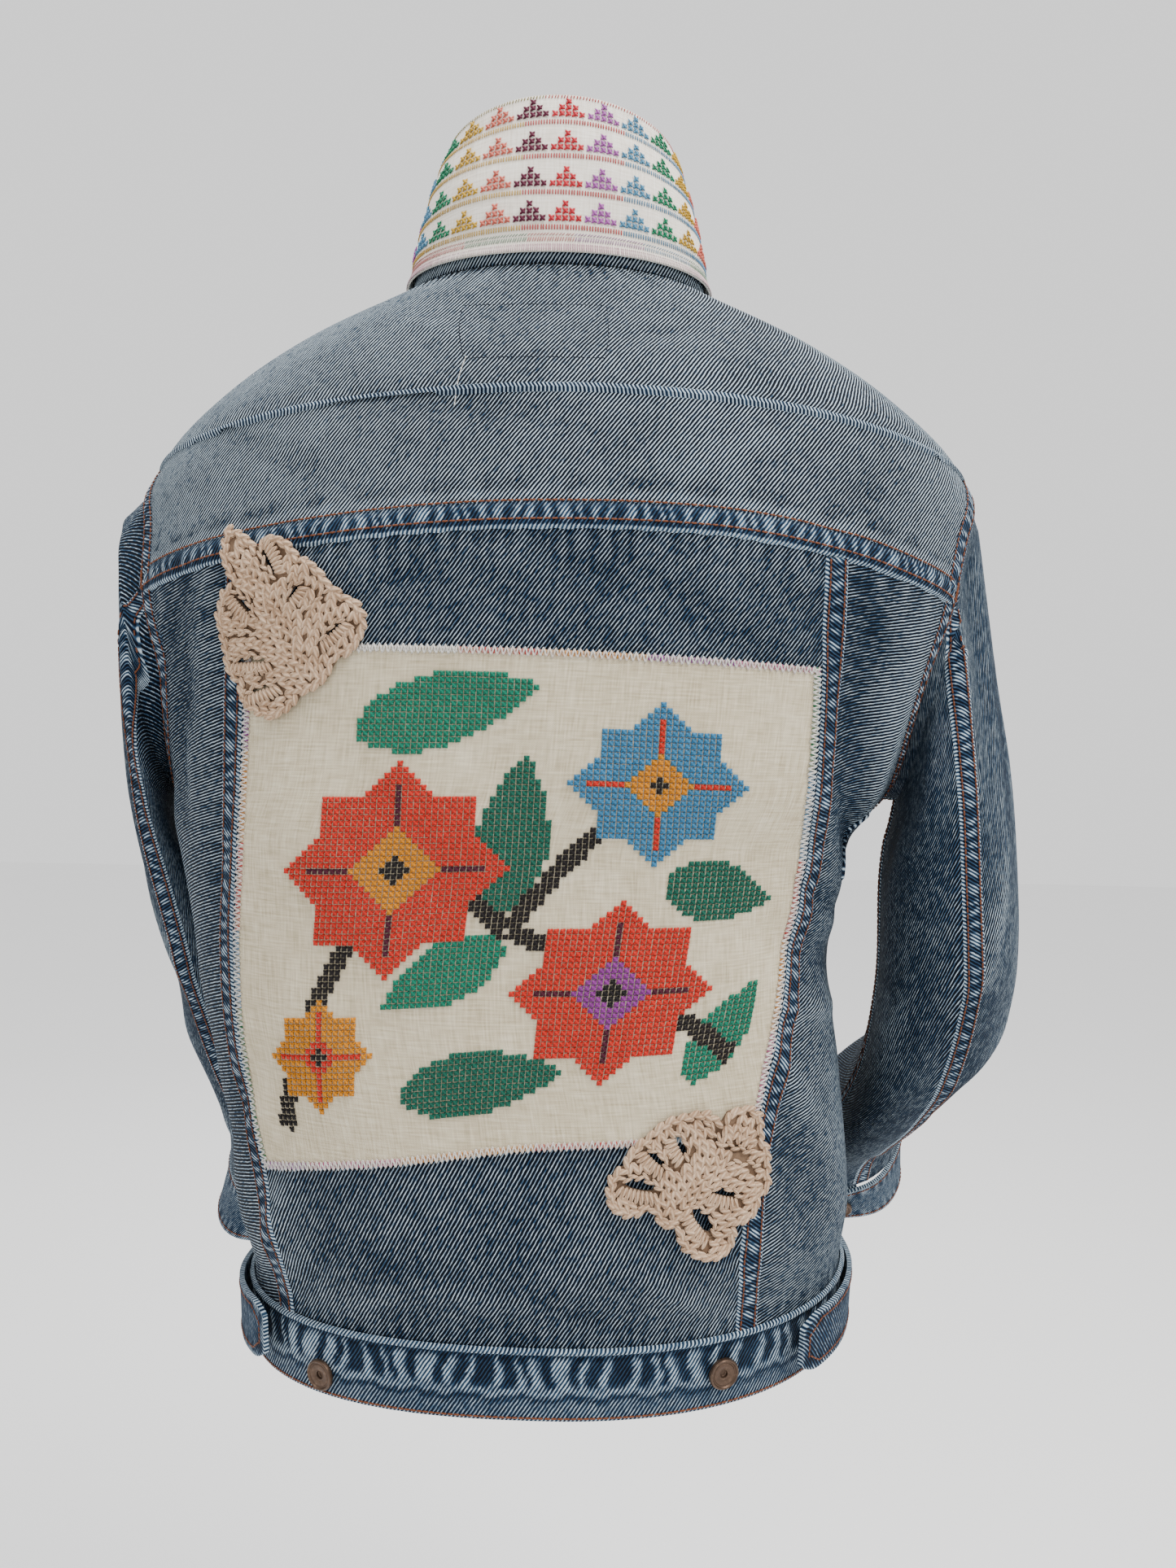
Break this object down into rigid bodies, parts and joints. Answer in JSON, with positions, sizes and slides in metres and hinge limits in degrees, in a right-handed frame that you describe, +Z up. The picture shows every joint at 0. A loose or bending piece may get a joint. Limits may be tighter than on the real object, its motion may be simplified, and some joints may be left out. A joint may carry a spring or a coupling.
{
  "type": "denim jacket",
  "caption": "Worn denim jacket, open at the front, collar turned up, with cross-stitched linen patches and crochet leaves on the back.",
  "frame": {"origin": "middle of the neck at the height of the neck seam, where the wearer's shoulders hold the jacket", "axes": "+Z up, -Y towards the wearer's front, +X towards the wearer's left"},
  "size_m": [0.5035, 0.3363, 0.658],
  "materials": {
    "denim": "stonewashed right-hand twill denim",
    "linen": "plain-weave natural linen",
    "yarn": "twisted cotton yarn, crocheted",
    "bronze": "dark bronze, worn at the rim"
  },
  "bodies": {
    "root": {"back_panel": "denim", "back_yoke": "denim", "side_back_left": "denim", "side_back_right": "denim", "front_left": "denim", "front_right": "denim", "front_yoke_left": "denim", "front_yoke_right": "denim", "placket_left": "denim", "placket_right": "denim", "waistband": "denim", "sleeve_left_upper": "denim", "sleeve_left_under": "denim", "sleeve_right_upper": "denim", "sleeve_right_under": "denim", "cuff_left": "denim", "cuff_right": "denim", "collar": "denim", "tab_left": "denim", "tab_right": "denim", "back_patch": "linen", "collar_patch": "linen", "leaf_upper": "yarn", "leaf_lower": "yarn", "band_button_left": "bronze", "band_button_right": "bronze", "front_button_1": "bronze", "front_button_2": "bronze", "front_button_3": "bronze", "front_button_4": "bronze", "front_button_5": "bronze", "front_button_6": "bronze", "cuff_button_left": "bronze", "cuff_button_right": "bronze"}
  },
  "joints": []
}
